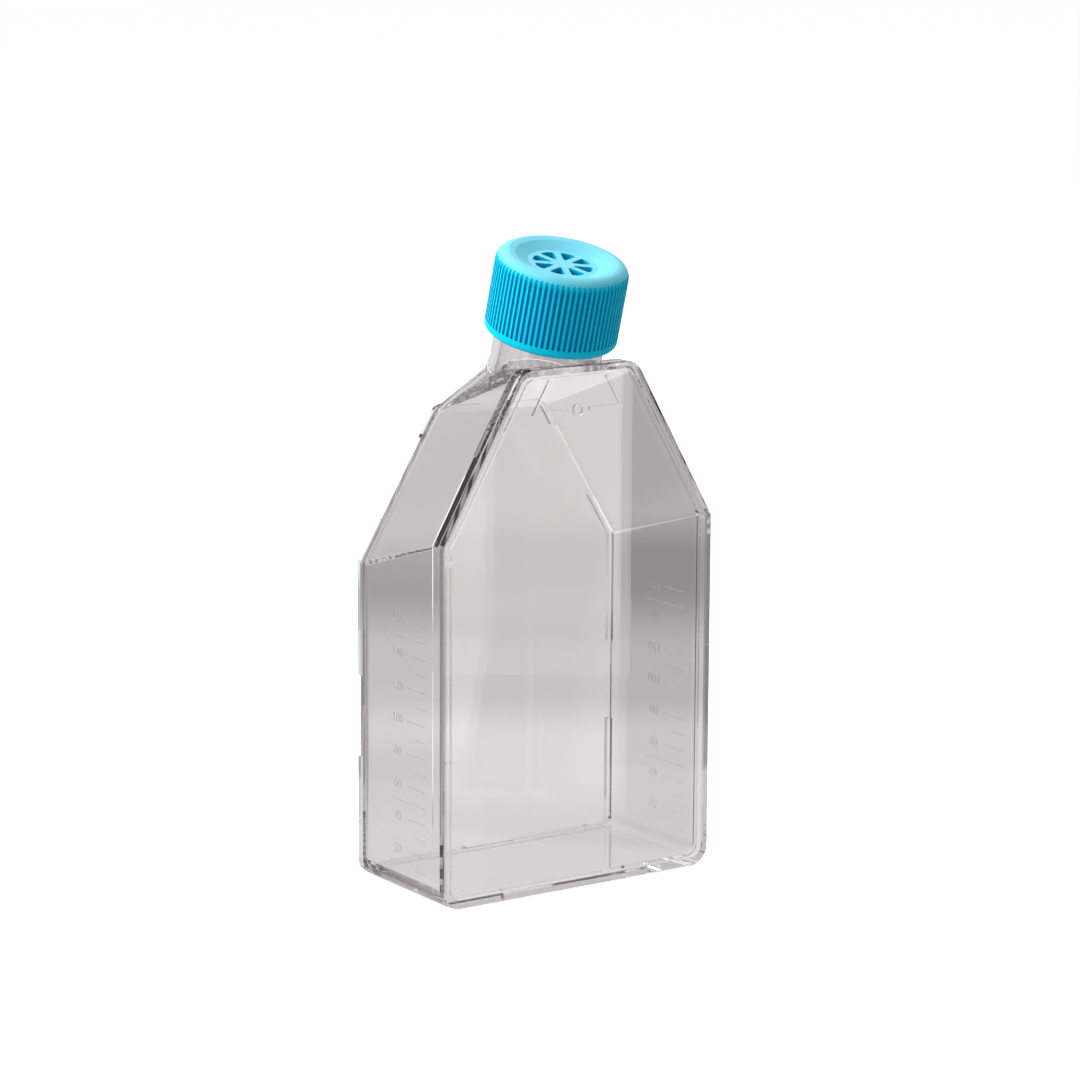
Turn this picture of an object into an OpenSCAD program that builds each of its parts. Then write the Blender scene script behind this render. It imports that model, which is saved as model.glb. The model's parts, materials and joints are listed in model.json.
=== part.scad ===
// Cell culture flask of the 75 cm2 class, with a canted neck and a vented screw cap.
// It stands on its end wall: X is the width, +Z is up, the clear top plate faces -Y
// and the growth face faces +Y. The origin is the centre of the end wall's outer face.
// Inside the modules, y = 0 is the rim of the top plate, and the flask lies behind it.

/* [Tray] */
// Width of the front outline
tray_w = 78; // [70:0.5:90]
// Height of the shoulders in the front outline
shoulder_h = 87.5; // [78:0.5:95]
// Width of the flat top of the front outline
top_w = 32.4; // [30:0.5:38]
// Height of the front outline
tray_h = 127; // [120:0.5:140]
// Depth from the rim of the top plate to the growth face
tray_d = 38.5; // [36:0.5:46]
// Thickness of the side walls, the shoulder walls and the top wall
wall = 1.4; // [1:0.1:1.8]
// Thickness of the end wall that the flask stands on
base_t = 2.6; // [1.6:0.1:3.4]
// Thickness of the growth face
growth_t = 1.2; // [0.8:0.1:1.8]
// How much narrower the growth face is than the front outline, on each side
side_draft = 1.3; // [0.8:0.1:2]
// How much lower the shoulders of the growth face are
shoulder_drop = 9.8; // [6:0.2:12]
// How much lower the top edge of the growth face is
ramp_drop = 12.8; // [10:0.1:16]
// Radius of the rim's two bottom corners
corner_r = 4.8; // [4:0.1:6]
// Radius of the rim's two top corners
top_corner_r = 5; // [4:0.1:6]
// Radius of the shoulder corners
shoulder_r = 1.5; // [1:0.5:4]
// Radius of the walls' own bottom and top corners
wall_corner_r = 3.7; // [3:0.1:3.9]
// Radius of the edge round the growth face
back_edge_r = 0.6; // [0.4:0.1:1.2]

/* [Flange] */
// Thickness of the flange that the top plate is welded to
flange_t = 2; // [1.4:0.1:3]
// How far the flange stands out past the walls
overhang = 0.5; // [0.3:0.1:1]

/* [Stacking ribs] */
// Height of the ribs on the growth face
rib_h = 1.2; // [0.5:0.1:1.5]
// Width of the ribs
rib_w = 2; // [1.4:0.1:2.6]
// Top of the two ribs that turn round the bottom corners
low_rib_top = 29.6; // [20:0.2:36]
// Bottom of the two ribs that bend over the shoulders
high_rib_bottom = 49.5; // [42:0.5:60]
// Half the gap between the two bottom corner ribs
corner_rib_x = 29.2; // [22:0.1:32]
// How far the upper side ribs run up the shoulders
shoulder_rib = 9.7; // [6:0.1:12]
// How far the top corner ribs run down the shoulders
top_rib = 8; // [5:0.1:12]
// Half the length of the rib in the middle of the bottom edge
middle_rib_x = 7.4; // [4:0.2:12]
// Half the gap between the two ribs that turn round the top corners
top_rib_x = 3.1; // [2:0.1:8]

/* [Top plate] */
// Thickness of the plate at its rim
plate_t = 2.8; // [2.2:0.1:4]
// Width of the raised rim
rim_w = 2.2; // [1.6:0.1:3]
// Depth of the panel below the rim
recess = 1.5; // [0.8:0.1:1.7]
// Rounding of the rim's front edge
rim_edge_r = 0.4; // [0.2:0.1:1]
// Width of the moulded bead on the panel
bead_w = 0.8; // [0.5:0.1:1.2]
// Height of the moulded bead
bead_h = 0.35; // [0.2:0.05:0.6]
// Distance of the bead's base line below the top of the plate
bead_drop = 10.6; // [8:0.2:14]
// Half the width of the bead's trapezoid at its top
bead_top_x = 8.2; // [5:0.2:10]
// Half the width of the trapezoid at its base
bead_base_x = 12.6; // [10:0.2:16]
// Half the gap in the base line
bead_gap_x = 3.2; // [2.4:0.2:6]
// Outer radius of the ring in that gap
bead_ring_r = 1.5; // [1:0.1:2]

/* [Neck] */
// Tilt of the neck towards the top plate
neck_tilt = 16; // [10:0.5:20]
// Outer radius of the neck
neck_r = 13.2; // [12.6:0.1:13.4]
// Radius of the neck's bore
bore_r = 11; // [9.8:0.1:11.4]
// Distance of the neck's axis behind the rim, at the height of the tray's top
neck_y = 14.75; // [14.2:0.05:18]
// Length of the neck above that height, along its axis
neck_len = 22.5; // [20:0.1:26]
// How far the collar at the foot of the neck stands out from it
collar = 0.6; // [0.3:0.1:0.8]
// Height of the collar
collar_h = 2; // [1.2:0.1:2.4]
// Depth of the collar's lower face below the tray's top, along the neck's axis
collar_depth = 5.3; // [4.6:0.1:6]

/* [Vent cap] */
// Outer radius of the cap
cap_r = 16; // [15.4:0.1:18]
// Height of the cap
cap_h = 19.7; // [18:0.1:24]
// Radius of the cap's bore
cap_bore_r = 14.3; // [14.2:0.05:14.6]
// Rounding of the top edge
cap_top_r = 2.9; // [2:0.1:3.4]
// Rounding of the bottom edge
cap_foot_r = 1.1; // [0.6:0.1:1.4]
// Number of grip grooves
groove_count = 76; // [48:2:84]
// Radius of a grip groove's section
groove_r = 0.4; // [0.25:0.05:0.45]
// Depth of the grip grooves
groove_depth = 0.55; // [0.3:0.05:0.6]
// Height of the plain band below the grooves
band_h = 2.1; // [1.2:0.1:4]
// Radius of the dish in the top
dish_r = 11.6; // [9.5:0.1:12]
// Depth of the dish
dish_depth = 1.7; // [1:0.1:2]
// Radius of the flat middle of the dish
dish_floor_r = 8.4; // [8:0.1:9]
// Thickness of the cap's top under the dish
cap_top_t = 1.5; // [1.2:0.1:2]
// Number of vent openings
vent_count = 8; // [4:1:10]
// Radius of the circle that the vents' outer corners lie on
vent_r = 7.1; // [6:0.1:7.4]
// Width of the spokes between the vents
spoke_w = 1.6; // [1.2:0.1:2]
// Rounding of a vent's inner corner
vent_tip_r = 0.4; // [0.2:0.1:0.5]
// Rounding of a vent's two outer corners
vent_corner_r = 0.6; // [0.4:0.1:0.7]
// Length of the sealing ring that enters the neck
plug_len = 2; // [1.4:0.1:2.6]
// Thickness of the sealing ring
plug_t = 0.8; // [0.6:0.1:0.9]

/* [Filter] */
// Thickness of the filter membrane
filter_t = 0.3; // [0.2:0.05:0.5]
// Height of the land that carries the membrane, under the cap's top
land_h = 0.5; // [0.3:0.1:0.8]
// Width of that land
land_w = 0.8; // [0.5:0.1:1]

/* [Clearances] */
// Gap between the neck's lip and the inside of the cap's top
lip_gap = 0.2; // [0.1:0.05:0.5]
// Gap between the sealing ring and the neck's bore
plug_gap = 0.2; // [0.1:0.05:0.3]
// Gap between the membrane's edge and the sealing ring
filter_gap = 0.3; // [0.2:0.05:0.5]
// Gap between the front of the neck and the top of the plate
neck_gap = 0.2; // [0.1:0.05:0.4]

/* [Hidden] */
$fn = 96;
eps = 0.01;
arc_steps = 6;
clear_plastic = [0.83, 0.85, 0.87, 0.45];
cap_blue = [0.05, 0.72, 0.88];
filter_white = [0.95, 0.95, 0.93];

front_corners = outline(tray_w, 0, shoulder_h, top_w, tray_h);
front_radii = [corner_r, corner_r, shoulder_r, top_corner_r, top_corner_r, shoulder_r];
wall_corners = outline(tray_w - 2 * overhang, 0, shoulder_h, top_w, tray_h - overhang);
back_corners = outline(tray_w - 2 * side_draft, 0, shoulder_h - shoulder_drop,
                       top_w - side_draft, tray_h - ramp_drop);
wall_radii = [wall_corner_r, wall_corner_r, shoulder_r, wall_corner_r, wall_corner_r, shoulder_r];
wall_steps = [base_t, wall, wall, wall, wall, wall];
inner_radii = shrunk(wall_radii, wall);
growth_y = tray_d - growth_t;

// Places along the neck's axis are measured from the height of the tray's top.
lip_h = neck_len;
lip_r = (neck_r - bore_r) / 2;
neck_root = collar_depth + neck_r * tan(neck_tilt);
bore_root = collar_depth + wall + bore_r * tan(neck_tilt);
throat_step = 0.3;
bead_root = 0.2;
rib_edge = 0.3;
cap_ceiling_h = lip_h + lip_gap;
cap_foot_h = cap_ceiling_h + cap_top_t + dish_depth - cap_h;
plug_outer_r = bore_r - plug_gap;
plug_inner_r = plug_outer_r - plug_t;
filter_r = plug_inner_r - filter_gap;

// ---- outlines -------------------------------------------------------------

// The six corners of a shouldered outline, anticlockwise from the bottom left.
function outline(w, foot, shoulder, top, h) = [
    [-w / 2, foot], [w / 2, foot], [w / 2, shoulder],
    [top / 2, h], [-top / 2, h], [-w / 2, shoulder]
];

// The line along one side of an outline, moved inwards by d: [nx, nz, distance].
function side(p, i, d) =
    let (a = p[i], b = p[(i + 1) % len(p)], n = [a.y - b.y, b.x - a.x] / norm(b - a))
    [n.x, n.y, n * a + d];

// The point where two such lines meet.
function meet(l, m) =
    let (det = l.x * m.y - l.y * m.x)
    [(l.z * m.y - l.y * m.z) / det, (l.x * m.z - l.z * m.x) / det];

// An outline with each side moved inwards by its own distance.
function inset(p, steps) = [
    for (i = [0 : len(p) - 1])
        let (before = (i + len(p) - 1) % len(p))
        meet(side(p, before, steps[before]), side(p, i, steps[i]))
];

// The same distance for all six sides.
function even(d) = [for (i = [0 : 5]) d];

// The arc that rounds corner p, between its neighbours a and b.
function arc(a, p, b, r) =
    let (u = (a - p) / norm(a - p), v = (b - p) / norm(b - p), half = acos(u * v) / 2,
         centre = p + (u + v) / norm(u + v) * r / sin(half),
         first = p + u * r / tan(half) - centre, start = atan2(first.y, first.x))
    [for (k = [0 : arc_steps])
        let (t = start + (180 - 2 * half) * k / arc_steps) centre + r * [cos(t), sin(t)]];

// An outline with all its corners rounded.
function rounded(p, radii) = [
    for (i = [0 : len(p) - 1])
        each arc(p[(i + len(p) - 1) % len(p)], p[i], p[(i + 1) % len(p)], radii[i])
];

// Radii that shrink as an outline moves inwards.
function shrunk(radii, d) = [for (r = radii) max(r - d, 0.4)];

// Points of a quarter round of radius r about a centre, from angle a to angle b.
function quarter(centre, r, a, b) =
    [for (k = [0 : arc_steps]) let (t = a + (b - a) * k / arc_steps) centre + r * [cos(t), sin(t)]];

// A strip of width w along a bent line, with mitred corners.
function strip(p, w) =
    let (last = len(p) - 1,
         n = [for (i = [0 : last - 1]) let (d = (p[i + 1] - p[i]) / norm(p[i + 1] - p[i])) [-d.y, d.x]],
         m = [for (i = [0 : last]) i == 0 ? n[0] : i == last ? n[last - 1]
              : (n[i - 1] + n[i]) / (1 + n[i - 1] * n[i])])
    [for (i = [0 : last]) p[i] + m[i] * w / 2, for (i = [last : -1 : 0]) p[i] - m[i] * w / 2];

// ---- placing --------------------------------------------------------------

// Puts the rim of the top plate and the growth face at equal distances from y = 0.
module placed() translate([0, -tray_d / 2, 0]) children();

// A plate with the outline of its child, from depth y backwards.
module slab(y, t) translate([0, y + t, 0]) rotate([90, 0, 0]) linear_extrude(t) children();

// Stands its children on the neck's axis, at height h along it.
module on_neck(h = 0)
    translate([0, neck_y, tray_h]) rotate([neck_tilt, 0, 0]) translate([0, 0, h]) children();

// ---- flask tray -----------------------------------------------------------

// The walls' outside: the front outline drawn back to the growth face and up to the neck.
module tray_outside() hull() {
    slab(plate_t, eps) polygon(rounded(wall_corners, wall_radii));
    for (a = [0 : 22.5 : 90]) {
        inward = back_edge_r * (1 - cos(a));
        slab(tray_d - back_edge_r * (1 - sin(a)) - eps, eps)
            polygon(rounded(inset(back_corners, even(inward)), shrunk(wall_radii, inward)));
    }
    on_neck(-collar_depth) cylinder(r = neck_r + collar / 2, h = eps, $fn = 32);
}

// The space inside, open at the front and closed by the growth face.
module tray_inside() hull() {
    slab(plate_t - eps, eps) polygon(rounded(inset(wall_corners, wall_steps), inner_radii));
    for (a = [0 : 30 : 90]) {
        inward = wall * (1 - cos(a));
        slab(growth_y - wall * (1 - sin(a)) - eps, eps)
            polygon(rounded(inset(inset(back_corners, wall_steps), even(inward)),
                            shrunk(inner_radii, inward)));
    }
    on_neck(-collar_depth - wall) cylinder(r = bore_r - throat_step, h = eps, $fn = 32);
}

// The flange round the open front, with the front outline.
module flange() slab(plate_t, flange_t) polygon(rounded(front_corners, front_radii));

// The neck and its collar, from inside the tray up to the rounded lip.
module neck_outside() on_neck() rotate_extrude() polygon([
    [0, -neck_root],
    [neck_r, -neck_root],
    [neck_r, -collar_depth],
    [neck_r + collar, -collar_depth],
    [neck_r + collar, collar_h - collar_depth],
    [neck_r, collar_h - collar_depth],
    each quarter([neck_r - lip_r, lip_h - lip_r], lip_r, 0, 90),
    [0, lip_h]
]);

// The neck's bore, from inside the tray out through its chamfered mouth.
module neck_bore() on_neck() rotate_extrude() polygon([
    [0, -bore_root],
    [bore_r, -bore_root],
    [bore_r, lip_h - lip_r / 2],
    [bore_r + lip_r / 2, lip_h],
    [bore_r + lip_r / 2, lip_h + eps],
    [0, lip_h + eps]
]);

// What the top plate's rim would run into, in front of the weld line.
module plate_room() translate([-tray_w / 2, -tray_w / 4, 0])
    cube([tray_w, tray_w / 4 + plate_t, tray_h + neck_gap]);

// The low ribs that a stacked flask rests on, along the edge of the growth face.
module stacking_ribs() slab(growth_y + eps, growth_t + rib_h - eps) intersection() {
    difference() {
        polygon(rounded(inset(back_corners, even(rib_edge)), shrunk(wall_radii, rib_edge)));
        polygon(rounded(inset(back_corners, even(rib_edge + rib_w)), shrunk(wall_radii, rib_edge + rib_w)));
    }
    rib_lengths();
}

// The stretches of the edge that carry a rib: two on each side, one round each top
// corner, and one in the middle of the bottom edge.
module rib_lengths() {
    shoulder_z = back_corners[2].y;
    for (s = [0, 1]) mirror([s, 0]) {
        translate([corner_rib_x, 0]) square([tray_w, low_rib_top]);
        translate([0, high_rib_bottom]) square([tray_w, shoulder_z + shoulder_rib - high_rib_bottom]);
        translate([top_rib_x, tray_h - ramp_drop - top_rib]) square([tray_w, top_rib]);
    }
    translate([-middle_rib_x, 0]) square([2 * middle_rib_x, rib_edge + rib_w]);
}

module flask_tray() color(clear_plastic) placed() difference() {
    union() {
        tray_outside();
        flange();
        difference() {
            neck_outside();
            plate_room();
        }
        stacking_ribs();
    }
    tray_inside();
    neck_bore();
}

// ---- top plate ------------------------------------------------------------

// The trapezoid bead with a ring in its base line.
module bead_lines() {
    base_z = tray_h - bead_drop;
    top_z = tray_h - rim_w - bead_w;
    for (s = [0, 1]) mirror([s, 0])
        polygon(strip([[bead_top_x, top_z], [bead_base_x, base_z], [bead_gap_x, base_z]], bead_w));
    translate([0, base_z]) difference() {
        circle(bead_ring_r, $fn = 32);
        circle(bead_ring_r - bead_w / 2, $fn = 32);
    }
}

module top_plate() color(clear_plastic) placed() {
    difference() {
        hull() for (a = [0 : 30 : 90]) {
            inward = rim_edge_r * (1 - sin(a));
            front = rim_edge_r * (1 - cos(a));
            slab(front, plate_t - front)
                polygon(rounded(inset(front_corners, even(inward)), shrunk(front_radii, inward)));
        }
        slab(-eps, recess + eps) panel_outline();
    }
    slab(recess - bead_h, bead_h + bead_root) bead_lines();
}

// The sunk panel inside the rim.
module panel_outline() polygon(rounded(inset(front_corners, even(rim_w)), shrunk(front_radii, rim_w)));

// ---- vent cap -------------------------------------------------------------

// Half section of the cap: rounded foot and top edge, dished top, bore and sealing ring.
module cap_section() {
    ceiling = cap_ceiling_h - cap_foot_h;
    floor_z = cap_h - dish_depth;
    lead_in = (cap_r - cap_bore_r) / 3;
    polygon([
        [0, floor_z],
        [0, ceiling],
        [filter_r - land_w, ceiling],
        [filter_r - land_w, ceiling - land_h],
        [filter_r, ceiling - land_h],
        [filter_r, ceiling],
        [plug_inner_r, ceiling],
        [plug_inner_r, ceiling - plug_len],
        [plug_outer_r - plug_t / 3, ceiling - plug_len],
        [plug_outer_r, ceiling - plug_len + plug_t],
        [plug_outer_r, ceiling],
        [cap_bore_r, ceiling],
        [cap_bore_r, lead_in],
        [cap_bore_r + lead_in, 0],
        each quarter([cap_r - cap_foot_r, cap_foot_r], cap_foot_r, -90, 0),
        each quarter([cap_r - cap_top_r, cap_h - cap_top_r], cap_top_r, 0, 90),
        [dish_r, cap_h - dish_depth * 0.16],
        [(dish_r + dish_floor_r) / 2, cap_h - dish_depth * 0.6],
        [dish_floor_r, floor_z]
    ]);
}

// One vent opening: a wedge between two spokes, with rounded corners and a bowed outer end.
module vent() {
    half = 180 / vent_count;
    tip = spoke_w / 2 / sin(half);
    side_len = sqrt(pow(vent_r, 2) - pow(spoke_w / 2, 2)) - tip * cos(half);
    corner = [tip + side_len * cos(half), side_len * sin(half)];
    bow = [vent_r * vent_r / corner.x, 0];
    polygon(rounded([[tip, 0], [corner.x, -corner.y], bow, corner],
                    [vent_tip_r, vent_corner_r, vent_r * 0.6, vent_corner_r]));
}

// One grip groove, with a rounded lower end and an open upper end.
module groove() translate([cap_r + groove_r - groove_depth, 0, band_h + groove_r]) {
    cylinder(r = groove_r, h = cap_h, $fn = 16);
    sphere(groove_r, $fn = 16);
}

module vent_cap() color(cap_blue) placed() on_neck(cap_foot_h) difference() {
    rotate_extrude() cap_section();
    for (i = [0 : vent_count - 1]) rotate(i * 360 / vent_count)
        translate([0, 0, cap_h / 2]) linear_extrude(cap_h) vent();
    for (i = [0 : groove_count - 1]) rotate(i * 360 / groove_count) groove();
}

// ---- filter membrane ------------------------------------------------------

module filter_membrane() color(filter_white) placed()
    on_neck(cap_ceiling_h - land_h - filter_t) cylinder(r = filter_r, h = filter_t);

flask_tray();
top_plate();
vent_cap();
filter_membrane();
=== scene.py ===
"""Cell culture flask: dresses the CAD frame with clear plastic, a moulded cap and a soft studio."""
import json
import logging
import math
from contextlib import contextmanager
from dataclasses import dataclass
from enum import Enum
from typing import Callable, Iterator, Sequence

import bpy
from mathutils import Matrix, Vector

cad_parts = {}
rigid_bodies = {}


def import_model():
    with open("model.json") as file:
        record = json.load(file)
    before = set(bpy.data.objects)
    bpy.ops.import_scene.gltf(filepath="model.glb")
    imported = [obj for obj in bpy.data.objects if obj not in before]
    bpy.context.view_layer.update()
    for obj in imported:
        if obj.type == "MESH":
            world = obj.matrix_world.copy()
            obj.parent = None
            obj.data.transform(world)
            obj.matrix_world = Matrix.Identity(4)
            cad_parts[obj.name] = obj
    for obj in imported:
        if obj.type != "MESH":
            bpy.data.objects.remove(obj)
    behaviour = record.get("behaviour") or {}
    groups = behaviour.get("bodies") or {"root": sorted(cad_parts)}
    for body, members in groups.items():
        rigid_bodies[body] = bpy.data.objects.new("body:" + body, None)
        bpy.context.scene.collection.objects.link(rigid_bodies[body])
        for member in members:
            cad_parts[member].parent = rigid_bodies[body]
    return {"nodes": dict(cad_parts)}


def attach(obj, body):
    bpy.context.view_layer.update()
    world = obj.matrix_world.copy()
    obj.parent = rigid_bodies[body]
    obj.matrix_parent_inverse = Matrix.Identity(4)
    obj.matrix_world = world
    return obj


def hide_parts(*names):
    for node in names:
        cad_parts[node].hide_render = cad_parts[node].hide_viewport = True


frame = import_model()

LOG = logging.getLogger("flask")
MM = 0.001
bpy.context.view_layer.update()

Socket = bpy.types.NodeSocket
Colour = tuple[float, float, float]

WELD_GAP = 2e-6
NECK_FOOT = (0.0, -4.5 * MM, 127.0 * MM)
NECK_CANT = math.radians(16)


# ---- shared mesh helpers ----------------------------------------------------


def deselect() -> None:
    """Leaves object mode with nothing selected."""
    if bpy.context.object and bpy.context.object.mode != "OBJECT":
        bpy.ops.object.mode_set(mode="OBJECT")
    bpy.ops.object.select_all(action="DESELECT")


def activate(obj: bpy.types.Object) -> None:
    """Selects one object alone and makes it active.

    Args:
        obj: The object that the next operators act on.
    """
    deselect()
    obj.select_set(True)
    bpy.context.view_layer.objects.active = obj


@contextmanager
def editing(obj: bpy.types.Object) -> Iterator[None]:
    """Opens one object in edit mode with all of it selected, and closes it again.

    Args:
        obj: The mesh object to edit.
    """
    activate(obj)
    bpy.ops.object.mode_set(mode="EDIT")
    bpy.ops.mesh.select_all(action="SELECT")
    yield
    bpy.ops.object.mode_set(mode="OBJECT")


def select_points(obj: bpy.types.Object, test: Callable[[Vector], bool]) -> None:
    """Selects the vertices, and what they span, that pass a test; called while editing.

    Args:
        obj: The object being edited.
        test: Says of a vertex's place whether it is selected.
    """
    bpy.ops.mesh.select_mode(type="VERT")
    bpy.ops.mesh.select_all(action="DESELECT")
    bpy.ops.object.mode_set(mode="OBJECT")
    for vertex in obj.data.vertices:
        vertex.select = test(vertex.co)
    bpy.ops.object.mode_set(mode="EDIT")


def apply_modifiers(obj: bpy.types.Object) -> None:
    """Applies every modifier of an object, in order.

    Args:
        obj: The object whose modifiers are applied.
    """
    activate(obj)
    for name in [m.name for m in obj.modifiers]:
        bpy.ops.object.modifier_apply(modifier=name)


def settle(obj: bpy.types.Object) -> None:
    """Puts an object's place, turn and scale into its mesh.

    Args:
        obj: The object to settle at the origin.
    """
    activate(obj)
    bpy.ops.object.transform_apply(location=True, rotation=True, scale=True)


def cad_copy(node: str, name: str) -> bpy.types.Object:
    """Copies a CAD node's mesh and merges its loose triangles into one surface.

    Args:
        node: The CAD node's name.
        name: The new object's name.

    Returns:
        The merged copy, at the origin.
    """
    mesh = frame["nodes"][node].data.copy()
    obj = bpy.data.objects.new(name, mesh)
    bpy.context.scene.collection.objects.link(obj)
    mesh.materials.clear()
    activate(obj)
    if mesh.has_custom_normals:
        bpy.ops.mesh.customdata_custom_splitnormals_clear()
    with editing(obj):
        bpy.ops.mesh.remove_doubles(threshold=WELD_GAP)
    return obj


def unite(body: bpy.types.Object, tool: bpy.types.Object) -> None:
    """Makes one solid of a body and a tool, and removes the tool.

    Args:
        body: The solid that grows.
        tool: The solid that is joined to it.
    """
    union = body.modifiers.new("union", "BOOLEAN")
    union.operation = "UNION"
    union.solver = "EXACT"
    union.object = tool
    apply_modifiers(body)
    bpy.data.objects.remove(tool)


def joined(parts: Sequence[bpy.types.Object], name: str) -> bpy.types.Object:
    """Joins meshes into one object.

    Args:
        parts: The meshes, each settled at the origin.
        name: The new object's name.

    Returns:
        The joined object.
    """
    activate(parts[0])
    for part in parts:
        part.select_set(True)
    bpy.ops.object.join()
    parts[0].name = name
    return parts[0]


def neck_seat() -> Matrix:
    """Gives the place of the canted neck's own axes: Z runs up the neck."""
    return Matrix.Translation(NECK_FOOT) @ Matrix.Rotation(NECK_CANT, 4, "X")


@dataclass(frozen=True)
class Thread:
    """One screw-thread ridge, from the radius of its root to that of its crest.

    It climbs along the neck's axis from low to high, and width is its width at its root.
    """

    name: str
    root_r: float
    crest_r: float
    low: float
    high: float
    width: float
    pitch: float = 4.0 * MM
    crest_share: float = 0.45
    steps_per_turn: int = 48
    touch: float = 0.01 * MM

    def section(self) -> bpy.types.Object:
        """Draws the ridge's outline at its foot: a wire that narrows towards the crest.

        Returns:
            The outline, beside the axis.
        """
        deselect()
        bpy.ops.mesh.primitive_plane_add(size=1.0, location=(0, 0, 0), rotation=(math.pi / 2, 0, 0))
        ridge = bpy.context.object
        ridge.name = self.name
        ridge.scale = (abs(self.crest_r - self.root_r), self.width, 1.0)
        ridge.location = ((self.root_r + self.crest_r) / 2, 0.0, self.low)
        settle(ridge)
        with editing(ridge):
            select_points(ridge, lambda p: abs(p.x - self.crest_r) < self.touch)
            bpy.ops.transform.resize(value=(1, 1, self.crest_share))
            bpy.ops.mesh.select_all(action="SELECT")
            bpy.ops.mesh.delete(type="ONLY_FACE")
        return ridge

    def build(self) -> bpy.types.Object:
        """Winds the outline up the axis and closes its ends.

        Returns:
            The closed ridge, in place on the neck's axis.
        """
        ridge = self.section()
        turns = (self.high - self.low) / self.pitch
        wind = ridge.modifiers.new("wind", "SCREW")
        wind.axis = "Z"
        wind.angle = turns * math.tau
        wind.screw_offset = self.high - self.low
        wind.steps = round(turns * self.steps_per_turn)
        wind.render_steps = wind.steps
        wind.use_smooth_shade = True
        apply_modifiers(ridge)
        with editing(ridge):
            bpy.ops.mesh.select_mode(type="VERT")
            bpy.ops.mesh.select_all(action="DESELECT")
            bpy.ops.mesh.select_non_manifold()
            bpy.ops.mesh.fill_holes(sides=0)
            bpy.ops.mesh.select_all(action="SELECT")
            bpy.ops.mesh.normals_make_consistent(inside=False)
        ridge.matrix_world = neck_seat()
        settle(ridge)
        return ridge


# ---- node helpers -----------------------------------------------------------


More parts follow.
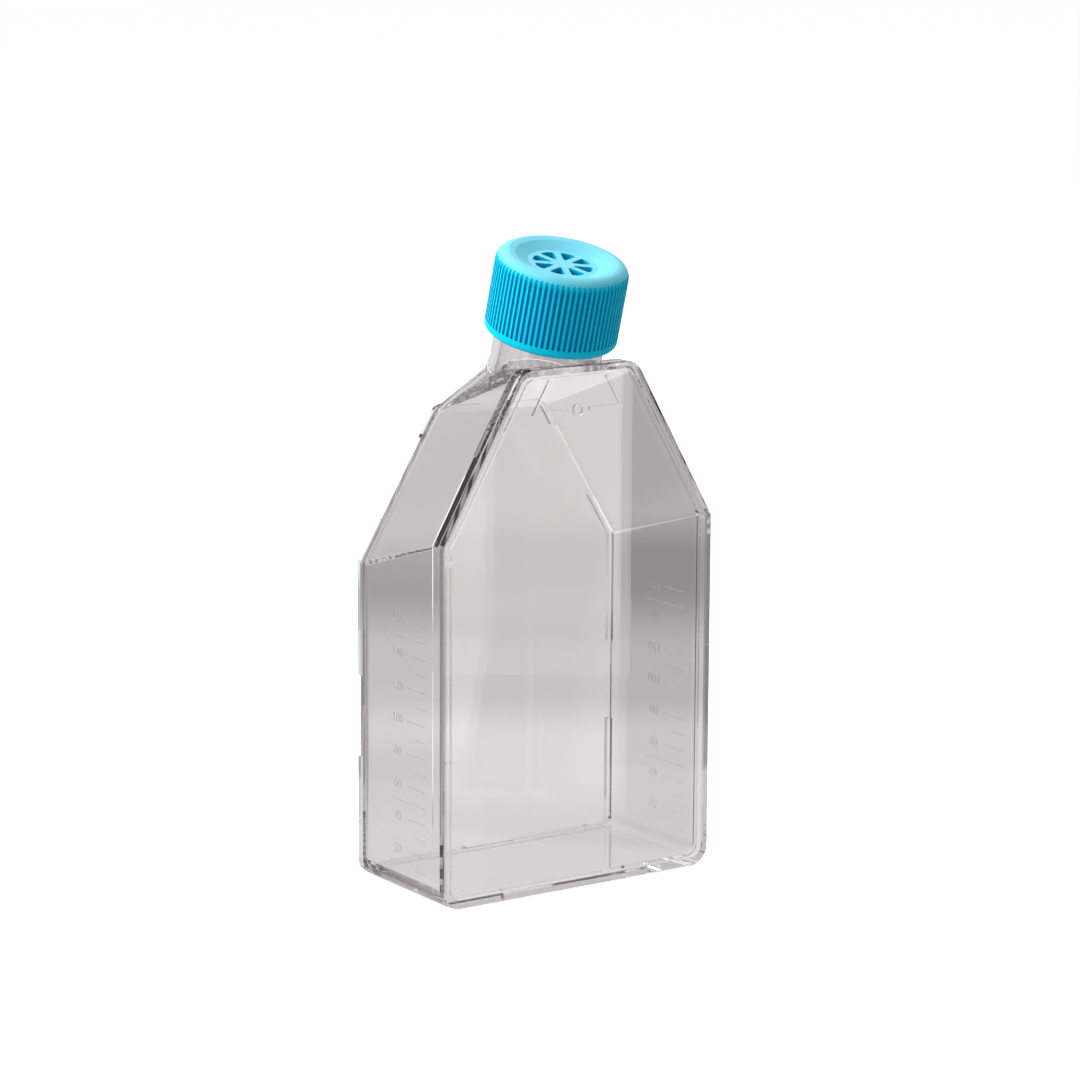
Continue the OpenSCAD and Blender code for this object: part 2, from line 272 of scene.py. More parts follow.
class Bench:
    """Short ways to lay nodes in one node tree."""

    def __init__(self, tree: bpy.types.NodeTree) -> None:
        """Keeps the tree that the nodes go in."""
        self.nodes = tree.nodes
        self.links = tree.links

    def put(self, socket: Socket, value: object) -> None:
        """Links or sets one input.

        Args:
            socket: The input.
            value: An output socket, or a plain value.
        """
        if isinstance(value, Socket):
            self.links.new(value, socket)
        else:
            socket.default_value = value

    def add(self, kind: str, values: dict[str, object]) -> bpy.types.Node:
        """Adds a node and fills its inputs.

        Args:
            kind: The node's type.
            values: An output socket or a plain value for each named input.

        Returns:
            The node.
        """
        node = self.nodes.new(kind)
        self.fill(node, values)
        return node

    def fill(self, node: bpy.types.Node, values: dict[str, object]) -> None:
        """Links or sets some inputs of a node.

        Args:
            node: The node.
            values: An output socket or a plain value for each named input.
        """
        for name, value in values.items():
            self.put(node.inputs[name], value)

    def calc(self, operation: str, *values: object) -> Socket:
        """Adds a Math node.

        Args:
            operation: The Math node's operation.
            values: Its inputs, in order.

        Returns:
            The result.
        """
        node = self.nodes.new("ShaderNodeMath")
        node.operation = operation
        for socket, value in zip(node.inputs, values):
            self.put(socket, value)
        return node.outputs[0]

    def fade(
        self, value: object, start: float, end: float, low: float = 0.0, high: float = 1.0
    ) -> Socket:
        """Maps a value smoothly from one range to another.

        Args:
            value: What is mapped.
            start: Where the fade starts.
            end: Where it ends.
            low: The result at the start.
            high: The result at the end.

        Returns:
            The mapped value.
        """
        node = self.nodes.new("ShaderNodeMapRange")
        node.interpolation_type = "SMOOTHSTEP"
        ranges = {"From Min": start, "From Max": end, "To Min": low, "To Max": high}
        self.fill(node, {"Value": value, **ranges})
        return node.outputs["Result"]

    def along(self, vector: Socket, direction: Sequence[float]) -> Socket:
        """Measures a vector along a direction.

        Args:
            vector: The vector.
            direction: The direction, of any length.

        Returns:
            The dot product with the unit direction.
        """
        node = self.nodes.new("ShaderNodeVectorMath")
        node.operation = "DOT_PRODUCT"
        self.links.new(vector, node.inputs[0])
        node.inputs[1].default_value = Vector(direction).normalized()
        return node.outputs["Value"]

    def blend(self, factor: object, first: object, second: object) -> Socket:
        """Mixes two numbers.

        Args:
            factor: 0 for the first number and 1 for the second.
            first: The first number.
            second: The second number.

        Returns:
            The mixed number.
        """
        node = self.nodes.new("ShaderNodeMix")
        node.data_type = "FLOAT"
        for socket, value in zip(node.inputs[:1] + node.inputs[2:4], (factor, first, second)):
            self.put(socket, value)
        return node.outputs[0]

    def mixed(self, factor: object, first: Colour | Socket, second: Colour | Socket) -> Socket:
        """Mixes two colours.

        Args:
            factor: 0 for the first colour and 1 for the second.
            first: The first colour.
            second: The second colour.

        Returns:
            The mixed colour.
        """
        node = self.nodes.new("ShaderNodeMix")
        node.data_type = "RGBA"
        self.put(node.inputs[0], factor)
        for socket, tone in ((node.inputs[6], first), (node.inputs[7], second)):
            self.put(socket, tone if isinstance(tone, Socket) else (*tone, 1.0))
        return node.outputs[2]

    def emission(self, strength: object) -> Socket:
        """Adds a white emission shader of that strength."""
        return self.add("ShaderNodeEmission", {"Strength": strength}).outputs[0]

    def background(self, strength: object) -> Socket:
        """Adds a white background shader of that strength."""
        white = (1.0, 1.0, 1.0, 1.0)
        return self.add("ShaderNodeBackground", {"Color": white, "Strength": strength}).outputs[0]

    def either(self, factor: object, first: Socket, second: Socket) -> Socket:
        """Mixes two shaders.

        Args:
            factor: 0 for the first shader and 1 for the second.
            first: The first shader.
            second: The second shader.

        Returns:
            The mixed shader.
        """
        node = self.nodes.new("ShaderNodeMixShader")
        for socket, value in zip(node.inputs, (factor, first, second)):
            self.put(socket, value)
        return node.outputs[0]

    def ray(self, question: str) -> Socket:
        """Asks the Light Path node one question about the ray."""
        return self.nodes.new("ShaderNodeLightPath").outputs[question]

    def shine(self) -> Socket:
        """Tells 1 to the rays that last left gloss or clear plastic."""
        return self.calc("MAXIMUM", self.ray("Is Glossy Ray"), self.ray("Is Transmission Ray"))

    def mirrored(self, often: float) -> Socket:
        """Tells how often a ray was mirrored: 0 for never, 1 for once, and often for more."""
        times = self.ray("Glossy Depth")
        return self.calc("MULTIPLY", self.fade(times, 0, 1), self.fade(times, 1, 2, 1.0, often))

    def noise(self, place: Socket, scale: float, detail: float) -> Socket:
        """Adds a noise texture of that scale and detail."""
        values = {"Vector": place, "Scale": scale, "Detail": detail}
        return self.add("ShaderNodeTexNoise", values).outputs[0]

    def skin(self, ripple: float) -> bpy.types.Node:
        """Adds the moulded skin.

        Args:
            ripple: The strength of its ripples.

        Returns:
            The group node, with outputs Cloud and Normal.
        """
        node = self.nodes.new("ShaderNodeGroup")
        node.node_tree = moulded_skin()
        self.fill(node, {"Ripple": ripple})
        return node


def moulded_skin() -> bpy.types.NodeTree:
    """Gives the node group that the moulded finishes share: slow ripples and a cloud mask.

    Returns:
        The group, made on its first use.
    """
    name = "moulded_skin"
    if name in bpy.data.node_groups:
        return bpy.data.node_groups[name]
    tree = bpy.data.node_groups.new(name, "ShaderNodeTree")
    tree.interface.new_socket("Ripple", in_out="INPUT", socket_type="NodeSocketFloat")
    tree.interface.new_socket("Cloud", in_out="OUTPUT", socket_type="NodeSocketFloat")
    tree.interface.new_socket("Normal", in_out="OUTPUT", socket_type="NodeSocketVector")
    bench = Bench(tree)
    start, end = bench.nodes.new("NodeGroupInput"), bench.nodes.new("NodeGroupOutput")
    place = bench.nodes.new("ShaderNodeTexCoord").outputs["Object"]
    cloud = bench.noise(place, scale=60.0, detail=3.0)
    swell = bench.noise(place, scale=45.0, detail=1.0)
    values = {"Distance": 0.2 * MM, "Strength": start.outputs["Ripple"], "Height": swell}
    bump = bench.add("ShaderNodeBump", values)
    bench.fill(end, {"Cloud": cloud, "Normal": bump.outputs[0]})
    return tree


def blank(name: str) -> tuple[bpy.types.Material, Bench, bpy.types.Node]:
    """Starts a material.

    Args:
        name: The material's name.

    Returns:
        The material, its bench and its main shader.
    """
    mat = bpy.data.materials.new(name)
    mat.use_nodes = True
    bench = Bench(mat.node_tree)
    return mat, bench, bench.nodes["Principled BSDF"]


# ---- finishes ---------------------------------------------------------------


@dataclass(frozen=True)
class ClearPlastic:
    """Moulded clear polystyrene, a little wavy, that greys light which runs far inside it.

    Its roughness grows by haze where the skin's cloud runs from one of clouds to the other.
    """

    name: str = "clear_polystyrene"
    tint: Colour = (0.965, 0.940, 0.946)
    ior: float = 1.59
    roughness: float = 0.0
    haze: float = 0.004
    clouds: tuple[float, float] = (0.35, 0.75)
    ripple: float = 0.05
    smoke: Colour = (0.58, 0.48, 0.51)
    density: float = 11.0

    def material(self) -> bpy.types.Material:
        """Builds the clear material.

        Returns:
            The material, with the tint on the shader's own socket.
        """
        mat, bench, shader = blank(self.name)
        skin = bench.skin(self.ripple)
        roughest = self.roughness + self.haze
        rough = bench.fade(skin.outputs["Cloud"], *self.clouds, self.roughness, roughest)
        bench.fill(shader, {
            "Base Color": (*self.tint, 1.0),
            "IOR": self.ior,
            "Transmission Weight": 1.0,
            "Roughness": rough,
            "Normal": skin.outputs["Normal"],
        })
        if self.density:
            smoke = {"Color": (*self.smoke, 1.0), "Density": self.density}
            inside = bench.add("ShaderNodeVolumeAbsorption", smoke)
            bench.fill(bench.nodes["Material Output"], {"Volume": inside.outputs[0]})
        return mat


@dataclass(frozen=True)
class CapPlastic:
    """Satin blue moulded plastic, with painted shade in its grooves and a painted sheen on top.

    The painted groove shade lies between root_r and crest_r, and fades out where the wall turns
    over into the cap's top, where the painted sheen comes in. Both of those fades, wall_end and
    top_start, are heights along the neck's axis. Patches and clouds are where the skin's cloud
    deepens the blue at random and changes the roughness.
    """

    name: str = "cap_plastic"
    colour: Colour = (0.0, 0.55, 0.77)
    # The blue of the painted shade down in the grooves; the random patches take it too.
    groove_shade_and_patch_blue: Colour = (0.0, 0.23, 0.48)
    # The painted sheen: the paler blue that the cap's upward faces take where light falls on its
    # top.
    pale: Colour = (0.20, 0.70, 0.87)
    crest_r: float = 15.92 * MM
    root_r: float = 15.5 * MM
    wall_end: tuple[float, float] = (24.0 * MM, 22.5 * MM)
    top_start: tuple[float, float] = (21.0 * MM, 23.5 * MM)
    top_slope: tuple[float, float] = (0.25, 0.8)
    patches: tuple[float, float] = (0.45, 0.75)
    patch_share: float = 0.06
    ior: float = 1.5
    gloss: float = 0.07
    clouds: tuple[float, float] = (0.3, 0.7)
    roughness: tuple[float, float] = (0.37, 0.48)
    ripple: float = 0.1
    grain_scale: float = 2600.0
    grain_strength: float = 0.12
    grain_depth: float = 0.02 * MM

    def material(self) -> bpy.types.Material:
        """Builds the cap's material.

        Returns:
            The material.
        """
        mat, bench, shader = blank(self.name)
        coords = bench.nodes.new("ShaderNodeTexCoord")
        seat = neck_seat().inverted()
        on_axis = {"Location": seat.to_translation(), "Rotation": seat.to_euler()}
        on_axis["Vector"] = coords.outputs["Object"]
        place = bench.add("ShaderNodeMapping", on_axis).outputs["Vector"]
        x, y, z = bench.add("ShaderNodeSeparateXYZ", {"Vector": place}).outputs
        square = bench.calc("ADD", bench.calc("MULTIPLY", x, x), bench.calc("MULTIPLY", y, y))
        # Painted shade: the blue deepens from the crests down into the grooves, below the wall's
        # end.
        depth = bench.fade(bench.calc("SQRT", square), self.crest_r, self.root_r)
        groove_shade_mask = bench.calc("MULTIPLY", bench.fade(z, *self.wall_end), depth)
        # Painted sheen: faces that look up the neck's axis, high on the cap, turn paler.
        slope = bench.along(coords.outputs["Normal"], neck_seat().col[2][:3])
        upward = bench.fade(slope, *self.top_slope)
        top = bench.calc("MULTIPLY", upward, bench.fade(z, *self.top_start))
        skin = bench.skin(self.ripple)
        cloud = skin.outputs["Cloud"]
        tone = bench.mixed(groove_shade_mask, self.colour, self.groove_shade_and_patch_blue)
        tone = bench.mixed(top, tone, self.pale)
        tone = bench.mixed(bench.fade(cloud, *self.patches, 0.0, self.patch_share), tone, self.groove_shade_and_patch_blue)
        grain = bench.noise(place, self.grain_scale, detail=2.0)
        bump = bench.add("ShaderNodeBump", {
            "Strength": self.grain_strength,
            "Distance": self.grain_depth,
            "Height": grain,
            "Normal": skin.outputs["Normal"],
        })
        bench.fill(shader, {
            "Base Color": tone,
            "IOR": self.ior,
            "Specular IOR Level": self.gloss,
            "Roughness": bench.fade(cloud, *self.clouds, *self.roughness),
            "Normal": bump.outputs[0],
        })
        return mat


@dataclass(frozen=True)
class MembraneFabric:
    """White porous membrane with a felted grain; its top is painted with the cap's blue light.

    Its level is low down in the pores and high on the fibres: over coloured it turns from pore
    to colour, and over smoothed from the first roughness to the second.
    """

    name: str = "membrane"
    # The painted blue light that the membrane's upward faces take from the cap.
    glow: Colour = (0.03, 0.80, 0.95)
    colour: Colour = (0.82, 0.86, 0.87)
    pore: Colour = (0.60, 0.66, 0.69)
    felt_scale: float = 1800.0
    pore_scale: float = 2400.0
    pore_reach: tuple[float, float] = (0.0, 0.5)
    pore_shade: tuple[float, float] = (0.6, 1.0)
    coloured: tuple[float, float] = (0.2, 0.5)
    smoothed: tuple[float, float] = (0.2, 0.6)
    top_slope: tuple[float, float] = (0.5, 0.8)
    roughness: tuple[float, float] = (0.95, 0.8)
    relief: float = 0.5
    relief_depth: float = 0.05 * MM

    def material(self) -> bpy.types.Material:
        """Builds the membrane's material.

        Returns:
            The material.
        """
        mat, bench, shader = blank(self.name)
        coords = bench.nodes.new("ShaderNodeTexCoord")
        place = coords.outputs["Object"]
        felt = bench.noise(place, self.felt_scale, detail=4.0)
        pores = bench.add("ShaderNodeTexVoronoi", {"Vector": place, "Scale": self.pore_scale})
        hollow = bench.fade(pores.outputs["Distance"], *self.pore_reach, *self.pore_shade)
        level = bench.calc("MULTIPLY", felt, hollow)
        slope = bench.along(coords.outputs["Normal"], neck_seat().col[2][:3])
        tone = bench.mixed(bench.fade(level, *self.coloured), self.pore, self.colour)
        # Painted light: faces that look up the neck's axis turn to the cap's blue.
        tone = bench.mixed(bench.fade(slope, *self.top_slope), tone, self.glow)
        values = {"Strength": self.relief, "Distance": self.relief_depth, "Height": level}
        bump = bench.add("ShaderNodeBump", values)
        bench.fill(shader, {
            "Base Color": tone,
            "Roughness": bench.fade(level, *self.smoothed, *self.roughness),
            "Normal": bump.outputs[0],
        })
        return mat


# ---- the flask --------------------------------------------------------------


@dataclass
class ClearBody:
    """The clear tray with its top plate welded on, as one solid of plastic."""

    flat_angle: float = math.radians(0.4)
    edge_angle: float = math.radians(28)
    thread: Thread = Thread(
        "neck_thread", 13.0 * MM, 13.88 * MM, low=9.0 * MM, high=19.0 * MM, width=1.9 * MM
    )

    def weld(self) -> bpy.types.Object:
        """Joins the tray and the plate as the weld does, and adds the neck's thread.

        Returns:
            One closed solid, which stands for both CAD nodes.
        """
        body = cad_copy("flask_tray", "clear_body")
        unite(body, cad_copy("top_plate", "plate_tool"))
        unite(body, self.thread.build())
        return body

    def ease(self, body: bpy.types.Object) -> None:
        """Melts the flat facets together, and shades all but the sharp edges smooth.

        Args:
            body: The welded solid.
        """
        with editing(body):
            bpy.ops.mesh.remove_doubles(threshold=WELD_GAP)
            bpy.ops.mesh.dissolve_limited(angle_limit=self.flat_angle)
        bpy.ops.object.shade_smooth_by_angle(angle=self.edge_angle)
        even = body.modifiers.new("true_flats", "WEIGHTED_NORMAL")
        even.mode = "FACE_AREA"
        even.weight = 100
        even.keep_sharp = True
        apply_modifiers(body)

    def build(self, glass: bpy.types.Material) -> bpy.types.Object:
        """Builds the clear solid.

        Args:
            glass: The clear plastic.

        Returns:
            The clear solid.
        """
        body = self.weld()
        self.ease(body)
        body.data.materials.clear()
        body.data.materials.append(glass)
        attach(body, "flask")
        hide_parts("flask_tray", "top_plate")
        LOG.info("clear_body: %d faces", len(body.data.polygons))
        return body


class Side(Enum):
    """The side wall that a row of marks stands on, as the sign of its X."""

    LEFT = -1
    RIGHT = 1


@dataclass
class VolumeScale:
    """The moulded millilitre marks on one side wall, which read from outside.

    Marks are counted in tens of millilitres, and feel is where the wall is felt for: how far
    out, how far to either side of y = 0, and how high.
    """

    side: Side
    feel: tuple[float, float, float] = (80 * MM, 8 * MM, 50 * MM)
    first_z: float = 2.85 * MM
    step_z: float = 4.0 * MM
    marks: int = 16
    line_start: float = 10.1 * MM
    short_line: float = 4.0 * MM
    long_line: float = 7.9 * MM
    longest_line: float = 14.9 * MM
    line_w: float = 0.35 * MM
    line_edge: float = 0.05 * MM
    relief: float = 0.12 * MM
    lift: float = 0.01 * MM
    digit_size: float = 3.3 * MM
    digit_thinning: float = 0.045 * MM
    digit_gap: float = 1e-6
    digit_y: float = 1.75 * MM

    def seat(self, body: bpy.types.Object) -> Matrix:
        """Finds the wall and gives a frame on it: X the reading direction, Y up and Z outwards.

        Args:
            body: The clear body, whose wall is felt for.

        Returns:
            The frame, whose origin is where the wall crosses y = 0 at the foot of the scale.
        """
        sign = self.side.value
        far, apart, high = self.feel
        found = []
        for y in (-apart, apart):
            hit, place, _, _ = body.ray_cast(Vector((sign * far, y, high)), Vector((-sign, 0, 0)))
            if not hit:
                raise RuntimeError("no side wall was found")
            found.append(place)
        run = (found[1] - found[0]).normalized() * sign
        up = Vector((0, 0, 1))
        middle = (found[0] + found[1]) / 2
        turn = Matrix((run, up, run.cross(up))).transposed().to_4x4()
        return Matrix.Translation((middle.x, middle.y, 0)) @ turn

    def place(self, mark: int, run: float) -> Vector:
        """Gives the middle of what stands at a mark, in the wall's frame.

        Args:
            mark: Which mark it is.
            run: How far along the wall it stands.

        Returns:
            The middle of its depth, just clear of the wall.
        """
        return Vector((run, self.first_z + mark * self.step_z, self.lift + self.relief / 2))

    def line_length(self, mark: int) -> float:
        """Gives a line's length: long at a number, and longest at each other fifth mark."""
        if mark % 2 == 0:
            return self.long_line
        return self.longest_line if mark % 5 == 0 else self.short_line

    def line(self, mark: int) -> bpy.types.Object:
        """Models one line of the scale, in the wall's frame.

        Args:
            mark: Which mark it is.

        Returns:
            The line, a low bar with a rounded front edge.
        """
        length = self.line_length(mark)
        middle = self.place(mark, self.side.value * (length / 2 - self.line_start))
        deselect()
        bpy.ops.mesh.primitive_cube_add(size=1.0)
        bar = bpy.context.object
        bar.scale = (length, self.line_w, self.relief)
        bar.location = middle
        settle(bar)
        with editing(bar):
            select_points(bar, lambda p: p.z > middle.z)
            bpy.ops.mesh.bevel(offset=self.line_edge, segments=2, affect="EDGES")
        return bar

    def number(self, mark: int) -> bpy.types.Object:
        """Models one number of the scale, in the wall's frame.

        Args:
            mark: Which mark it is.

        Returns:
            The number as a mesh.
        """
        deselect()
        bpy.ops.object.text_add()
        text = bpy.context.object.data
        text.body = str(mark * 10)
        text.align_x = "CENTER"
        text.align_y = "CENTER"
        text.size = self.digit_size
        text.extrude = self.relief / 2
        text.offset = -self.digit_thinning
        text.resolution_u = 3
        bpy.ops.object.convert(target="MESH")
        digits = bpy.context.object
        with editing(digits):
            bpy.ops.mesh.remove_doubles(threshold=self.digit_gap)
            bpy.ops.mesh.normals_make_consistent(inside=False)
        digits.location = self.place(mark, self.side.value * self.digit_y)
        settle(digits)
        return digits

    def build(self, body: bpy.types.Object, finish: bpy.types.Material) -> None:
        """Builds the scale on its wall.

        Args:
            body: The clear body.
            finish: The marks' material.
        """
        lines = [self.line(mark) for mark in range(1, self.marks + 1)]
        numbers = [self.number(mark) for mark in range(2, self.marks + 1, 2)]
        scale = joined(lines + numbers, f"volume_scale_{self.side.name.lower()}")
        scale.matrix_world = self.seat(body)
        settle(scale)
        scale.data.materials.clear()
        scale.data.materials.append(finish)
        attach(scale, "flask")
        LOG.info("%s: %d faces", scale.name, len(scale.data.polygons))


@dataclass
class VentCap:
    """The grip-grooved vented cap, its inner thread and the membrane under its vents."""

    thread: Thread = Thread(
        "cap_thread", 14.5 * MM, 14.0 * MM, low=10.4 * MM, high=20.4 * MM, width=1.7 * MM
    )

    def build(self, blue: bpy.types.Material, white: bpy.types.Material) -> None:
        """Dresses the cap and the membrane, and adds the thread inside the cap.

        Args:
            blue: The cap's material.
            white: The membrane's material.
        """
        for node, finish in (("vent_cap", blue), ("filter_membrane", white)):
            part = frame["nodes"][node]
            part.data.materials.clear()
            part.data.materials.append(finish)
            LOG.info("%s: dressed", node)
        thread = self.thread.build()
        thread.data.materials.append(blue)
        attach(thread, "cap")
        LOG.info("cap_thread: %d faces", len(thread.data.polygons))


# ---- studio -----------------------------------------------------------------


@dataclass(frozen=True)
class Eye:
    """The camera, at the flask's front left and a little above it, with its angles in degrees."""

    azimuth: float = -35.061
    elevation: float = 11.037
    roll: float = 0.299
    distance: float = 0.98755
    lens: float = 136.48
    sensor: float = 36.0
    aim: tuple[float, float, float] = (0.001724, 0.000009, 0.081949)
    nearest: float = 0.01
    farthest: float = 50.0

    def axes(self) -> tuple[Vector, Vector, Vector]:
        """Works out the camera's own directions, before its roll.

        Returns:
            Its right, up and back directions.
        """
        a, e = math.radians(self.azimuth), math.radians(self.elevation)
        back = Vector((math.sin(a) * math.cos(e), -math.cos(a) * math.cos(e), math.sin(e)))
        right = Vector((math.cos(a), math.sin(a), 0.0))
        return right, back.cross(right), back

    def place(self) -> Vector:
        """Gives the place where the camera stands."""
        return Vector(self.aim) + self.axes()[2] * self.distance

    def build(self) -> None:
        """Adds the camera."""
        right, up, back = self.axes()
        t = math.radians(self.roll)
        data = bpy.data.cameras.new("camera")
        data.lens = self.lens
        data.sensor_width = self.sensor
        data.clip_start = self.nearest
        data.clip_end = self.farthest
        cam = bpy.data.objects.new("camera", data)
        bpy.context.scene.collection.objects.link(cam)
        turned_right = right * math.cos(t) + up * math.sin(t)
        turned_up = up * math.cos(t) - right * math.sin(t)
        turn = Matrix((turned_right, turned_up, back)).transposed().to_4x4()
        cam.matrix_world = Matrix.Translation(self.place()) @ turn
        bpy.context.scene.camera = cam


@dataclass(frozen=True)
class Levels:
    """Brightness along a line, where 1 is white: a first level, and soft steps away from it.

    Each step says where it starts, where it ends and by how much the level changes.
    """

    first: float
    steps: tuple[tuple[float, float, float], ...]

    def lay(self, bench: Bench, reach: Socket) -> Socket:
        """Lays the levels along a measure.

        Args:
            bench: The nodes to lay them in.
            reach: The measure, in metres.

        Returns:
            The level at that measure.
        """
        level = self.first
        for start, end, change in self.steps:
            level = bench.calc("ADD", level, bench.fade(reach, start, end, 0.0, change))
        return level


@dataclass
class Floor:
    """A pale floor that keeps a soft shadow, and shows its own tones in gloss and plastic.

    Those tones lie on two strips that the eye looks along: one behind the flask, and one in
    front of it, as mirrored in the top plate. Columns are slopes to the side of the line of
    sight, reaches are distances along it beyond the flask, in metres, and edges are columns.
    Beside the strips the floor rests at one level, and at the eye's left at another.
    """

    eye: Eye
    size: float = 6.0
    drop: float = 0.2 * MM
    colour: Colour = (0.8, 0.8, 0.8)
    white: float = 0.80
    panel_y: float = -17.75 * MM
    rest: float = 0.45
    left: float = 0.33
    left_from: tuple[float, float] = (-0.08, -0.12)
    left_far: float = 0.8
    left_far_reach: tuple[float, float] = (0.75, 0.95)
    strip_side: tuple[float, float] = (0.055, 0.045)
    behind: Levels = Levels(
        0.77, ((0.14, 0.19, -0.15), (0.24, 0.35, -0.27), (0.40, 0.47, 0.15), (0.86, 0.94, 0.25))
    )
    behind_start: tuple[float, float] = (-0.12, -0.08)
    front: Levels = Levels(0.4, ((0.045, 0.09, 0.95), (0.125, 0.16, -0.3)))
    front_start: tuple[float, float] = (0.0, 0.02)
    front_end: tuple[float, float] = (0.215, 0.225)
    edges: tuple[float, float] = (0.0200, 0.0222)
    edge_softness: float = 0.0004

    def sight(self, bench: Bench, place: Socket, mirror: int) -> tuple[Socket, Socket]:
        """Measures the floor as the eye, or its image in the top plate, looks along it.

        Args:
            bench: The floor's nodes.
            place: The place on the floor.
            mirror: 1 for the eye itself, and -1 for its image.

        Returns:
            The place's column and reach.
        """
        right, _, back = self.eye.axes()
        stand = self.eye.place()
        if mirror < 0:
            stand.y = 2 * self.panel_y - stand.y
        side = Vector((right.x, mirror * right.y, 0))
        ahead = Vector((-back.x, -mirror * back.y, 0)).normalized()
        across = bench.calc("SUBTRACT", bench.along(place, side), side.dot(stand))
        away = bench.calc("SUBTRACT", bench.along(place, ahead), ahead.dot(stand))
        stand_off = self.eye.distance * math.cos(math.radians(self.eye.elevation))
        return bench.calc("DIVIDE", across, away), bench.calc("SUBTRACT", away, stand_off)

    def strip(
        self, bench: Bench, column: Socket, reach: Socket, start: tuple[float, float]
    ) -> Socket:
        """Masks one of the strips.

        Args:
            bench: The floor's nodes.
            column: The place's column.
            reach: The place's reach.
            start: Where the strip fades in.

        Returns:
            1 inside the strip and 0 outside it.
        """
        sides = bench.fade(bench.calc("ABSOLUTE", column), *self.strip_side)
        return bench.calc("MULTIPLY", sides, bench.fade(reach, *start))

    def front_level(self, bench: Bench, column: Socket, reach: Socket) -> Socket:
        """Gives the front strip's level, which ends at the card's foot.

        Args:
            bench: The floor's nodes.
            column: The place's column.
            reach: The place's reach.

        Returns:
            The level, which loses half of its full value at each of the two edges.
        """
        level = self.front.lay(bench, reach)
        level = bench.calc("MULTIPLY", level, bench.fade(reach, *self.front_end, 1.0, 0.0))
        left, right = (
            bench.fade(column, edge - self.edge_softness, edge + self.edge_softness, 0.5, 0.0)
            for edge in self.edges
        )
        return bench.calc("MULTIPLY", level, bench.calc("ADD", left, right))

    def level(self, bench: Bench) -> Socket:
        """Gives the level that gloss and plastic see.

        Args:
            bench: The floor's nodes.

        Returns:
            The level, where 1 is white.
        """
        place = bench.nodes.new("ShaderNodeTexCoord").outputs["Object"]
        column, reach = self.sight(bench, place, 1)
        left = bench.fade(reach, *self.left_far_reach, self.left, self.left_far)
        at_left = bench.fade(bench.along(place, self.eye.axes()[0]), *self.left_from)
        level = bench.blend(at_left, self.rest, left)
        front_column, front_reach = self.sight(bench, place, -1)
        in_front = self.strip(bench, front_column, front_reach, self.front_start)
        in_front = bench.calc("MULTIPLY", in_front, bench.mirrored(0.0))
        level = bench.blend(in_front, level, self.front_level(bench, front_column, front_reach))
        in_back = self.strip(bench, column, reach, self.behind_start)
        return bench.blend(in_back, level, self.behind.lay(bench, reach))

    def build(self) -> None:
        """Adds the floor."""
        deselect()
        bpy.ops.mesh.primitive_plane_add(size=self.size, location=(0, 0, -self.drop))
        plane = bpy.context.object
        plane.name = "floor"
        settle(plane)
        mat, bench, shader = blank("pale_floor")
        matte = {"Base Color": (*self.colour, 1.0), "Roughness": 1.0, "Specular IOR Level": 0.0}
        bench.fill(shader, matte)
        lit = bench.nodes.new("ShaderNodeAddShader")
        lift = bench.emission(bench.calc("MULTIPLY", bench.ray("Is Camera Ray"), self.white))
        bench.put(lit.inputs[0], shader.outputs[0])
        bench.put(lit.inputs[1], lift)
        seen = bench.either(bench.shine(), lit.outputs[0], bench.emission(self.level(bench)))
        bench.fill(bench.nodes["Material Output"], {"Surface": seen})
        plane.data.materials.append(mat)


@dataclass
class Card:
    """A bright upright card in front of the flask, which only mirrored rays see.

    It stands across the eye's mirrored line of sight. Its levels run up from its foot, and the
    margin at its right end is half as bright.
    """

    eye: Eye
    right_end: tuple[float, float] = (0.1449, -0.1928)
    width: float = 0.40
    height: float = 0.30
    levels: Levels = Levels(1.3, ((0.010, 0.026, 1.5), (0.036, 0.048, -0.5)))
    margin: float = 3.0 * MM
    margin_softness: float = 0.3 * MM
    outer_share: float = 1.45
    inner_share: float = 0.55

    def finish(self, side: Vector, end: float) -> bpy.types.Material:
        """Builds the card's material.

        Args:
            side: The direction that the card runs in.
            end: How far along it the card's right end stands.

        Returns:
            The material, brighter to rays mirrored outside the plastic than to inner ones.
        """
        mat, bench, _ = blank("bright_card")
        mat.cycles.emission_sampling = "NONE"
        place = bench.nodes.new("ShaderNodeTexCoord").outputs["Object"]
        level = self.levels.lay(bench, bench.along(place, (0, 0, 1)))
        inner = bench.ray("Is Transmission Ray")
        share = bench.fade(inner, 0, 1, self.outer_share, self.inner_share)
        level = bench.calc("MULTIPLY", level, share)
        start = end - self.margin - self.margin_softness
        stop = end - self.margin + self.margin_softness
        trim = bench.fade(bench.along(place, side), start, stop, 1.0, 0.5)
        glow = bench.emission(bench.calc("MULTIPLY", level, trim))
        clear = bench.nodes.new("ShaderNodeBsdfTransparent").outputs[0]
        seen = bench.either(bench.mirrored(1.0), clear, glow)
        bench.fill(bench.nodes["Material Output"], {"Surface": seen})
        return mat

    def build(self) -> None:
        """Adds the card."""
        right = self.eye.axes()[0]
        side = Vector((right.x, -right.y, 0))
        end = Vector((*self.right_end, 0))
        deselect()
        bpy.ops.mesh.primitive_plane_add(
            size=1.0,
            location=end - side * self.width / 2 + Vector((0, 0, self.height / 2)),
            rotation=(math.pi / 2, 0, math.atan2(side.y, side.x)),
        )
        board = bpy.context.object
        board.name = "bright_card"
        board.scale = (self.width, self.height, 1.0)
        settle(board)
        board.data.materials.append(self.finish(side, side.dot(end)))
        board.visible_camera = False
        board.visible_diffuse = False
        board.visible_shadow = False


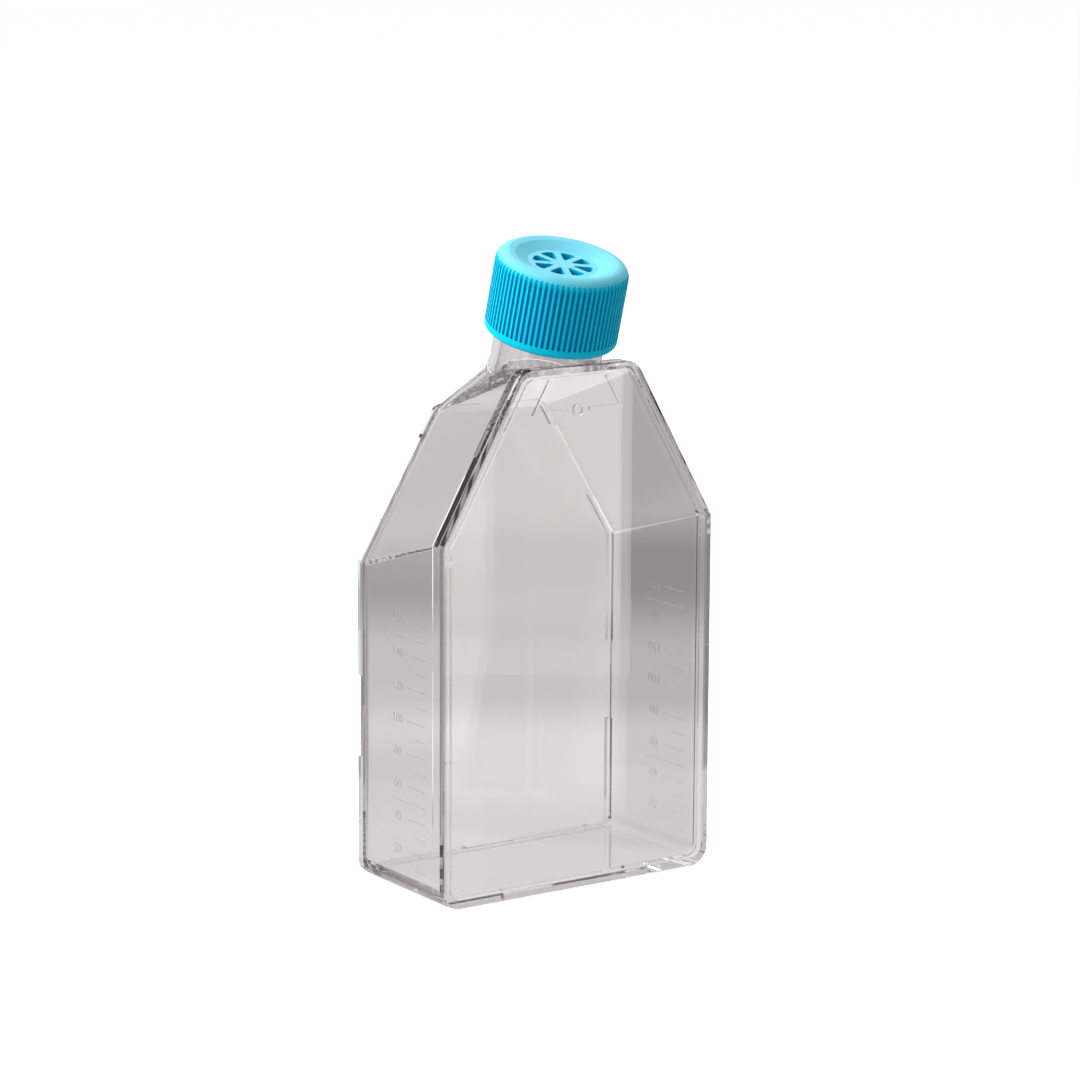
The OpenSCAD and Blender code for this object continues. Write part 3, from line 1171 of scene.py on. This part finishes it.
@dataclass(frozen=True)
class Lamp:
    """A square soft lamp that faces the flask, as bright as its level, where 1 is white."""

    name: str
    place: tuple[float, float, float]
    size: float
    level: float
    in_shine: bool
    aim: tuple[float, float, float] = (0.0, 0.0, 0.1)

    def build(self) -> None:
        """Adds the lamp, hidden from gloss and plastic unless it is in the shine."""
        data = bpy.data.lights.new(self.name, "AREA")
        data.shape = "RECTANGLE"
        data.size = self.size
        data.size_y = self.size
        data.energy = self.level * math.pi * self.size * self.size
        lamp = bpy.data.objects.new(self.name, data)
        bpy.context.scene.collection.objects.link(lamp)
        lamp.location = self.place
        lamp.rotation_mode = "QUATERNION"
        lamp.rotation_quaternion = (Vector(self.place) - Vector(self.aim)).to_track_quat("Z", "Y")
        lamp.visible_camera = False
        lamp.visible_glossy = self.in_shine
        lamp.visible_transmission = self.in_shine


@dataclass
class Studio:
    """The camera, a white surround, the floor, the card and the soft lamps."""

    eye: Eye = Eye()
    ambient: float = 0.24
    room: float = 0.68
    bounces: int = 64
    lamps: tuple[Lamp, ...] = (
        Lamp("key_lamp", (-0.605, 0.21, 0.45), 0.6, 6.5, in_shine=False),
        Lamp("fill_lamp", (0.24, 0.0, 0.88), 0.6, 1.8, in_shine=False),
        Lamp("top_lamp", (0.25, 0.40, 0.80), 0.75, 1.5, in_shine=True),
    )

    def surround(self) -> None:
        """Adds the surround: white to the eye, grey in gloss and plastic, even light elsewhere."""
        world = bpy.data.worlds.new("surround")
        bpy.context.scene.world = world
        world.use_nodes = True
        bench = Bench(world.node_tree)
        even, room = bench.background(self.ambient), bench.background(self.room)
        seen = bench.either(bench.shine(), even, room)
        seen = bench.either(bench.ray("Is Camera Ray"), seen, bench.background(1.0))
        bench.fill(bench.nodes["World Output"], {"Surface": seen})

    def build(self) -> None:
        """Adds the whole studio and sets how it is shown."""
        self.eye.build()
        self.surround()
        Floor(self.eye).build()
        Card(self.eye).build()
        for lamp in self.lamps:
            lamp.build()
        scene = bpy.context.scene
        scene.view_settings.view_transform = "Standard"
        scene.cycles.max_bounces = self.bounces
        scene.cycles.transmission_bounces = self.bounces
        scene.cycles.glossy_bounces = self.bounces
        LOG.info("studio: %d lamps", len(self.lamps))


def main() -> None:
    """Builds the flask's pieces and the studio."""
    logging.basicConfig(level=logging.INFO, format="%(name)s: %(message)s")
    Studio().build()
    glass = ClearPlastic().material()
    blue = CapPlastic().material()
    white = MembraneFabric().material()
    marks = ClearPlastic(
        "frosted_marks", (1.0, 1.0, 1.0), ior=1.3, roughness=0.12, haze=0.08, density=0.0
    ).material()
    body = ClearBody().build(glass)
    for side in Side:
        VolumeScale(side).build(body, marks)
    VentCap().build(blue, white)


if __name__ == "__main__":
    main()
